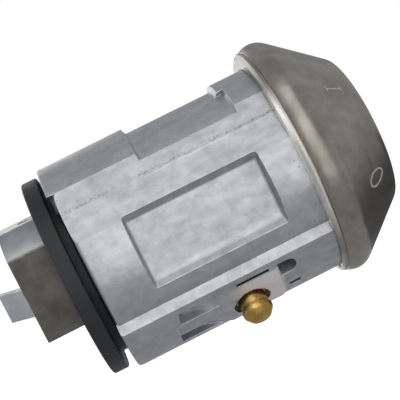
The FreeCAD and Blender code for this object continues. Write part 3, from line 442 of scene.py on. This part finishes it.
# ---- housing: bare zinc casting ----
zinc = {
    "dark": (0.40, 0.415, 0.43),
    "light": (0.62, 0.635, 0.65),
    # near white: worn edges that also serve as painted edge highlights, and the ridge's painted
    # highlight
    "edge": (0.94, 0.95, 0.96),
    "pit": (0.13, 0.135, 0.14),
    "grain": (170.0, 3000.0, 0.6),  # patch scale, grain scale, pits
    "wearAndGlint": (700.0, 0.16),  # scale, and radius in mm
    "flowStretch": (0.16, 1, 1),
    "flow": (900.0, 4.0, 0.65, 0.34, 0.66),  # scale, detail, roughness, low and high end
    "blotches": (620.0, 5.0, 0.62, 0.36, 0.62),
    "shares": (0.36, 0.38, 0.26),  # of patches, blotches and flow marks in the stains
    "roughness": (0.50, 0.36),  # from the darkest to the lightest stain
    "bossRoughness": 0.15,  # added on the boss
    # pale pink: a painted reflection on the boss
    "boss": (0.95, 0.885, 0.88),
    "bossSheenShare": 0.9,
    "bossPlace": (14.0, 16.6, 21.3),  # mm along the axis: where its painted sheen and added roughness start, are full, end
    "bossHeight": 14.35,  # mm along the pin, and the boss stands above that
    "bossSide": 3.82,  # mm to the near side
    # colour of the painted shade in the slit and the sink
    "hollowShade": (0.02, 0.02, 0.022),
    "hollowFloor": 12.0,  # mm along the pin, and slit and sink are painted dark with shade above that
    "slitPlace": (15.35, 19.95),  # mm along the axis
    "slitSides": (3.78, 4.22),  # mm to the near side
    "sinkPlace": 16.6,  # mm along the axis
    "sinkRadius": 2.51,
    "sinkShare": 0.85,
    "pinElevation": -62.0,
    "flatElevation": 26.0,  # degrees round the axis from the camera's side
    "flatDistance": 13.36,  # mm from the axis to the flat
    "linePlace": 0.7,  # mm from the flat's middle to the parting line
    "lineWander": 0.3,  # mm
    "lineWidth": (0.06, 0.34),  # mm: half of its full and of its faded width
    "lineShare": 0.7,
    "ridgeDrop": 0.42,  # mm from the line to the painted highlight of a ridge beside it
    "ridgeWidth": (0.04, 0.16),
    "ridgeShare": 0.25,
}


def bossSheenMask(tree, place):
    start, full, end = (part * mm for part in zinc["bossPlace"])
    along = axisPlace(tree, place)
    outward = faceHeight(tree, place, zinc["pinElevation"])
    nearward = faceSide(tree, place, zinc["pinElevation"])
    top, side = zinc["bossHeight"] * mm, zinc["bossSide"] * mm
    return product(
        tree,
        addRange(tree, along, start, full),
        addRange(tree, along, end - 0.3 * mm, end + 0.3 * mm, 1.0, 0.0),
        addRange(tree, outward, top - 0.15 * mm, top + 0.05 * mm),
        addRange(tree, nearward, side - 0.25 * mm, side + 0.02 * mm, 1.0, 0.0),
    )


def paintedShadeMask(tree, place):
    # painted shade: the slit beside the boss and the sink round the pin are painted dark inside
    start, end = (part * mm for part in zinc["slitPlace"])
    far, near = (part * mm for part in zinc["slitSides"])
    along = axisPlace(tree, place)
    outward = faceHeight(tree, place, zinc["pinElevation"])
    nearward = faceSide(tree, place, zinc["pinElevation"])
    floor, rim = zinc["hollowFloor"] * mm, zinc["sinkRadius"] * mm
    slit = product(
        tree,
        addRange(tree, along, start, start + 0.1 * mm),
        addRange(tree, along, end - 0.1 * mm, end, 1.0, 0.0),
        addRange(tree, nearward, far, far + 0.08 * mm),
        addRange(tree, nearward, near - 0.02 * mm, near, 1.0, 0.0),
    )
    fromPin = addMath(tree, "SUBTRACT", along, zinc["sinkPlace"] * mm)
    sink = addRange(tree, hypotenuse(tree, fromPin, nearward),
                    rim - 0.04 * mm, rim + 0.01 * mm, zinc["sinkShare"], 0.0)
    return product(tree, addMath(tree, "MAXIMUM", slit, sink),
                   addRange(tree, outward, floor, floor + 0.1 * mm))


def lineMasks(tree, place, drawn, flow):
    # parting line along the flat: a broken row of dark specks beside a thin painted highlight along
    # a ridge
    across = addMath(tree, "SUBTRACT", faceSide(tree, place, zinc["flatElevation"]),
                     zinc["linePlace"] * mm)
    outward = faceHeight(tree, place, zinc["flatElevation"])
    flat = zinc["flatDistance"] * mm
    onFlat = addRange(tree, outward, flat - 0.12 * mm, flat - 0.04 * mm)
    sway = addMath(tree, "SUBTRACT", addNoise(tree, place, 260.0, 2.0), 0.5)
    offset = addMath(tree, "ADD", across, product(tree, sway, zinc["lineWander"] * mm))
    full, faded = (part * mm for part in zinc["lineWidth"])
    row = addRange(tree, addMath(tree, "ABSOLUTE", offset), full, faded, 1.0, 0.0)
    speckle = addRange(tree, addNoise(tree, place, 2300.0, 3.0, 0.7), 0.42, 0.62)
    broken = addRange(tree, addNoise(tree, drawn, 1500.0, 3.0), 0.36, 0.54)
    specks = product(tree, onFlat, row, speckle, broken, zinc["lineShare"])
    below = addMath(tree, "ADD", offset, zinc["ridgeDrop"] * mm)
    full, faded = (part * mm for part in zinc["ridgeWidth"])
    strip = addRange(tree, addMath(tree, "ABSOLUTE", below), full, faded, 1.0, 0.0)
    ridgeHighlight = product(tree, onFlat, strip, addRange(tree, flow, 0.3, 0.8), zinc["ridgeShare"])
    return specks, ridgeHighlight


def makeZinc():
    finish, tree, surface, place = startFinish("zincCasting")
    grain = useGrain(tree, place, zinc)
    wearAndGlint = useWearAndGlint(tree, place, zinc)
    # stains: broad patches, smaller blotches, and flow marks drawn out along the barrel
    mapping = tree.nodes.new("ShaderNodeMapping")
    mapping.inputs["Scale"].default_value = zinc["flowStretch"]
    tree.links.new(place, mapping.inputs["Vector"])
    drawn = mapping.outputs[0]
    flow = noiseMask(tree, drawn, *zinc["flow"])
    blotches = noiseMask(tree, place, *zinc["blotches"])
    patchShare, blotchShare, flowShare = zinc["shares"]
    stain = addMath(tree, "ADD", product(tree, grain["Patches"], patchShare),
                    product(tree, blotches, blotchShare))
    stain = addMath(tree, "ADD", stain, product(tree, flow, flowShare))
    boss = bossSheenMask(tree, place)
    specks, ridgeHighlight = lineMasks(tree, place, drawn, flow)

    colour = blendColours(tree, stain, zinc["dark"], zinc["light"])
    # painted reflection: the boss is painted pale for the light it reflects
    colour = blendColours(tree, product(tree, boss, zinc["bossSheenShare"]), colour, zinc["boss"])
    # painted highlight of the ridge beside the parting line
    colour = blendColours(tree, ridgeHighlight, colour, zinc["edge"])
    # worn edges, painted near white partly as edge highlights
    colour = blendColours(tree, wearAndGlint["Mask"], colour, zinc["edge"])
    specks = addMath(tree, "MAXIMUM", specks, grain["Pit Mask"])
    colour = blendColours(tree, specks, colour, zinc["pit"])
    # painted shade in the slit and in the sink round the pin
    colour = blendColours(tree, paintedShadeMask(tree, place), colour, zinc["hollowShade"])
    tree.links.new(colour, surface.inputs["Base Color"])

    rough = addRange(tree, stain, 0.0, 1.0, *zinc["roughness"])
    rough = addMath(tree, "ADD", rough, product(tree, boss, zinc["bossRoughness"]))
    tree.links.new(rough, surface.inputs["Roughness"])
    height = addMath(tree, "ADD", grain["Height"], product(tree, blotches, 0.8))
    normal = addBump(tree, height, 0.4, 0.04, wearAndGlint["Normal"])
    tree.links.new(normal, surface.inputs["Normal"])
    return finish


# ---- cap and face trim: turned nickel ----
nickel = {
    "cap": ((0.27, 0.252, 0.215), (0.41, 0.385, 0.335), 0.29),  # dark, light, roughness
    "trim": ((0.50, 0.49, 0.47), (0.62, 0.61, 0.59), 0.18),
    "edge": (0.66, 0.61, 0.54),
    "edgeShare": 0.6,
    "wearAndGlint": (800.0, 0.1),
    "clouds": (330.0, 5.0, 0.62, 0.3, 0.7),
    "lineScale": 14000.0,
    "seatHighlight": (1.0, 0.96, 0.90),
    "seatEdge": 29.8,  # mm along the axis, and the seat edge behind it gets a painted highlight
    "seatSpan": (-12.0, -7.0, 5.0, 10.0),  # mm up: where that fades in and out
}


# where a highlight is painted along the seat edge, fading out above and below
def seatHighlightMask(tree, place):
    edge = nickel["seatEdge"] * mm
    low, lowFull, highFull, high = (part * mm for part in nickel["seatSpan"])
    upward = addDot(tree, place, (0, 0, 1))
    return product(
        tree,
        addRange(tree, axisPlace(tree, place), edge - 0.1 * mm, edge + 0.15 * mm, 1.0, 0.0),
        addRange(tree, upward, low, lowFull),
        addRange(tree, upward, highFull, high, 1.0, 0.0),
    )


def makeNickel(name, dark, light, roughness):
    finish, tree, surface, place = startFinish(name)
    lines = useGroup(tree, turnedLines, place, Scale=nickel["lineScale"])["Lines"]
    wearAndGlint = useWearAndGlint(tree, place, nickel)
    colour = blendColours(tree, noiseMask(tree, place, *nickel["clouds"]), dark, light)
    worn = product(tree, wearAndGlint["Mask"], nickel["edgeShare"])
    colour = blendColours(tree, worn, colour, nickel["edge"])
    # painted highlight along the seat edge, strongest at mid height
    colour = blendColours(tree, seatHighlightMask(tree, place), colour, nickel["seatHighlight"])
    tree.links.new(colour, surface.inputs["Base Color"])
    rough = addRange(tree, lines, 0.3, 0.7, roughness - 0.02, roughness + 0.04)
    tree.links.new(rough, surface.inputs["Roughness"])
    height = addMath(tree, "ADD", product(tree, lines, 0.15), addNoise(tree, place, 1500.0))
    normal = addBump(tree, height, 0.10, 0.03, wearAndGlint["Normal"])
    tree.links.new(normal, surface.inputs["Normal"])
    return finish


# ---- brass: turned pin, plug and wafers ----
brass = {
    "pin": ((0.42, 0.25, 0.05), (0.72, 0.49, 0.16), 0.27),  # dark, light, roughness
    "plug": ((0.46, 0.34, 0.14), (0.70, 0.55, 0.27), 0.30),
    "wafers": ((0.50, 0.36, 0.14), (0.80, 0.62, 0.30), 0.26),
    "wearAndGlint": (1500.0, 0.12),
    "stains": (600.0, 4.0, 0.65, 0.3, 0.7),
}


def makeBrass(name, dark, light, roughness):
    finish, tree, surface, place = startFinish(name)
    wearAndGlint = useWearAndGlint(tree, place, brass)
    stain = noiseMask(tree, place, *brass["stains"])
    tree.links.new(blendColours(tree, stain, dark, light), surface.inputs["Base Color"])
    rough = addRange(tree, stain, 0.0, 1.0, roughness + 0.08, roughness - 0.04)
    tree.links.new(rough, surface.inputs["Roughness"])
    normal = addBump(tree, addNoise(tree, place, 5000.0, 2.0), 0.06, 0.02, wearAndGlint["Normal"])
    tree.links.new(normal, surface.inputs["Normal"])
    return finish


# ---- rear disc: black glass-filled plastic ----
blackPlastic = {
    "dark": (0.008, 0.009, 0.010),
    "light": (0.020, 0.022, 0.024),
    "edge": (0.07, 0.072, 0.075),
    "edgeShare": 0.35,
    "roughness": (0.44, 0.6),
    "grain": (300.0, 5200.0, 0.1),
    "wearAndGlint": (1200.0, 0.15),
}


def makeBlackPlastic():
    finish, tree, surface, place = startFinish("blackNylon", 0.0)
    grain = useGrain(tree, place, blackPlastic)
    wearAndGlint = useWearAndGlint(tree, place, blackPlastic)
    patches = grain["Patches"]
    colour = blendColours(tree, patches, blackPlastic["dark"], blackPlastic["light"])
    worn = product(tree, wearAndGlint["Mask"], blackPlastic["edgeShare"])
    colour = blendColours(tree, worn, colour, blackPlastic["edge"])
    tree.links.new(colour, surface.inputs["Base Color"])
    rough = addRange(tree, patches, 0.0, 1.0, *blackPlastic["roughness"])
    tree.links.new(rough, surface.inputs["Roughness"])
    normal = addBump(tree, grain["Height"], 0.3, 0.03, wearAndGlint["Normal"])
    tree.links.new(normal, surface.inputs["Normal"])
    return finish


# ---- driver: dull zinc, with a dark brown reflection painted on its main flat ----
driver = {
    "grey": (0.33, 0.345, 0.36),
    "pale": (0.50, 0.52, 0.54),
    "brown": (0.085, 0.075, 0.055),
    "olive": (0.13, 0.125, 0.11),
    "edge": (0.66, 0.67, 0.68),
    "brownShare": 0.95,
    "roughness": (0.48, 0.36),
    "grain": (260.0, 3600.0, 0.3),
    "wearAndGlint": (900.0, 0.16),
    "flatElevation": -10.3,
    "flatDistance": 7.33,  # mm
}


def makeDriverZinc():
    finish, tree, surface, place = startFinish("dullZinc")
    grain = useGrain(tree, place, driver)
    wearAndGlint = useWearAndGlint(tree, place, driver)
    patches = grain["Patches"]
    colour = blendColours(tree, patches, driver["grey"], driver["pale"])
    flat = driver["flatDistance"] * mm
    outward = faceHeight(tree, place, driver["flatElevation"])
    onFlat = addRange(tree, outward, flat - 0.2 * mm, flat - 0.02 * mm)
    # painted reflection: the main flat is painted dark brown
    flatReflection = blendColours(tree, patches, driver["brown"], driver["olive"])
    colour = blendColours(tree, product(tree, onFlat, driver["brownShare"]), colour, flatReflection)
    colour = blendColours(tree, wearAndGlint["Mask"], colour, driver["edge"])
    tree.links.new(colour, surface.inputs["Base Color"])
    rough = addRange(tree, patches, 0.0, 1.0, *driver["roughness"])
    tree.links.new(rough, surface.inputs["Roughness"])
    normal = addBump(tree, grain["Height"], 0.35, 0.04, wearAndGlint["Normal"])
    tree.links.new(normal, surface.inputs["Normal"])
    return finish


# ---- steel: springs, pins, clip and shutter ----
steel = {
    "springs": ((0.26, 0.26, 0.28), (0.46, 0.46, 0.48), 0.28),  # dark, light, roughness
    "shutter": ((0.20, 0.20, 0.21), (0.36, 0.36, 0.37), 0.32),
    "pins": ((0.36, 0.36, 0.37), (0.58, 0.58, 0.59), 0.22),
    "clouds": (900.0, 4.0, 0.6, 0.3, 0.7),
}


def makeSteel(name, dark, light, roughness):
    finish, tree, surface, place = startFinish(name)
    cloud = noiseMask(tree, place, *steel["clouds"])
    tree.links.new(blendColours(tree, cloud, dark, light), surface.inputs["Base Color"])
    rough = addRange(tree, cloud, 0.0, 1.0, roughness + 0.06, roughness - 0.04)
    tree.links.new(rough, surface.inputs["Roughness"])
    normal = addBump(tree, addNoise(tree, place, 7000.0, 2.0), 0.12, 0.02)
    tree.links.new(normal, surface.inputs["Normal"])
    return finish


springSteel = makeSteel("springSteel", *steel["springs"])


def dressNodes():
    cover("housing", makeZinc())
    cover("cap", makeNickel("satinNickel", *nickel["cap"]))
    cover("face_trim", makeNickel("polishedNickel", *nickel["trim"]))
    cover("detent_pin", makeBrass("pinBrass", *brass["pin"]))
    cover("plug", makeBrass("plugBrass", *brass["plug"]))
    waferBrass = makeBrass("waferBrass", *brass["wafers"])
    for n in range(1, 9):
        cover("wafer_%d" % n, waferBrass)
        cover("wafer_spring_%d" % n, springSteel)
    for node in ("shutter_spring", "detent_spring", "retaining_clip"):
        cover(node, springSteel)
    cover("shutter", makeSteel("shutterSteel", *steel["shutter"]))
    pinSteel = makeSteel("pinSteel", *steel["pins"])
    for node in ("shutter_pin", "cross_pin"):
        cover(node, pinSteel)
    cover("rear_disc", makeBlackPlastic())
    cover("driver", makeDriverZinc())


dressNodes()
print("finishes on")


# ---- detent spring: drawn from the CAD's coil and carried with the barrel ----
detentSpring = {
    "place": 16.6,  # mm along the axis
    "foot": 10.52,  # mm from the axis to its foot in the pin's well
    "length": 6.06,  # mm at rest
    "travel": 2.6,  # mm that the pin goes in
    "merge": 0.0002,  # mm
}


def makeDetentSpring():
    shape = bmesh.new()
    shape.from_mesh(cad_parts["detent_spring"].data)
    bmesh.ops.remove_doubles(shape, verts=shape.verts, dist=detentSpring["merge"] * mm)
    spring = newPiece("detentCoil", shape)
    spring.data.materials.append(springSteel)
    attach(spring, "barrel")
    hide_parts("detent_spring")
    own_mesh(spring)


makeDetentSpring()
print("detent spring made")


# ---- position marks on the cap's cone: a slim nought and a serifed one ----
marks = {
    "coneAngle": 39.9,  # degrees
    "coneFront": (40.4, 9.91),  # mm: place along the axis and radius where the cone would end
    "place": 37.1,  # mm along the axis
    "proud": 0.03,  # mm
    "stroke": 0.24,
    "noughtElevation": -32.1,
    "noughtSize": (1.02, 1.64),  # half width and half height
    "oneElevation": 25.6,
    "oneSize": (0.9, 2.6),  # width over the serifs and height
    "serif": 0.192,  # height of a serif
    "colour": (0.50, 0.51, 0.52),
    "wornShare": 0.7,
    "worn": (3200.0, 3.0, 0.55, 0.3, 0.7),
    "roughness": (0.6, 0.42),
}


def layOnCone(shape, elevation):
    # from a flat drawing, with its foot to the seat and its head to the key, to the cone
    slope = marks["coneAngle"] * deg
    endPlace, endRadius = marks["coneFront"]
    middle = endRadius + (endPlace - marks["place"]) * math.tan(slope)
    for vert in shape.verts:
        sideways, upward, height = vert.co
        along = marks["place"] + upward * math.cos(slope) + height * math.sin(slope)
        radius = middle - upward * math.sin(slope) + height * math.cos(slope)
        angle = elevation * deg - sideways / middle
        vert.co = Vector((along, -radius * math.cos(angle), radius * math.sin(angle))) * mm


def finishMark(name, shape, finish, elevation):
    for face in shape.faces:
        face.normal_update()
        if face.normal.z < 0:
            face.normal_flip()
    bmesh.ops.solidify(shape, geom=shape.faces[:], thickness=-2 * marks["proud"])
    layOnCone(shape, elevation)
    bmesh.ops.recalc_face_normals(shape, faces=shape.faces)
    piece = newPiece(name, shape)
    piece.data.materials.append(finish)
    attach(piece, "barrel")


def makeMarkPaint():
    finish, tree, surface, place = startFinish("markSilver", 0.0)
    worn = noiseMask(tree, place, *marks["worn"])
    low = tuple(marks["wornShare"] * part for part in marks["colour"])
    tree.links.new(blendColours(tree, worn, low, marks["colour"]), surface.inputs["Base Color"])
    rough = addRange(tree, worn, 0.0, 1.0, *marks["roughness"])
    tree.links.new(rough, surface.inputs["Roughness"])
    return finish


def makeNought(finish):
    shape = bmesh.new()
    bmesh.ops.create_circle(shape, cap_ends=True, segments=48, radius=1)
    bmesh.ops.scale(shape, vec=(*marks["noughtSize"], 1), verts=shape.verts)
    middle = shape.faces[:]
    bmesh.ops.inset_region(shape, faces=middle, thickness=marks["stroke"],
                           use_even_offset=True, use_boundary=True)
    bmesh.ops.delete(shape, geom=middle, context="FACES")
    finishMark("markNought", shape, finish, marks["noughtElevation"])


def makeOne(finish):
    # a grid of three by three squares without its left and right middle, pulled to size
    shape = bmesh.new()
    bmesh.ops.create_grid(shape, x_segments=3, y_segments=3, size=1.5)
    centres = [(face, face.calc_center_median()) for face in shape.faces]
    sides = [face for face, centre in centres if abs(centre.y) < 0.1 and abs(centre.x) > 0.5]
    bmesh.ops.delete(shape, geom=sides, context="FACES")
    width, height = marks["oneSize"]
    for vert in shape.verts:
        x, y = vert.co.x, vert.co.y
        halfWidth = width / 2 if abs(x) > 1 else marks["stroke"] / 2
        halfHeight = height / 2 if abs(y) > 1 else height / 2 - marks["serif"]
        vert.co.x = math.copysign(halfWidth, x)
        vert.co.y = math.copysign(halfHeight, y)
    finishMark("markOne", shape, finish, marks["oneElevation"])


markPaint = makeMarkPaint()
makeNought(markPaint)
makeOne(markPaint)
print("marks on the cap")
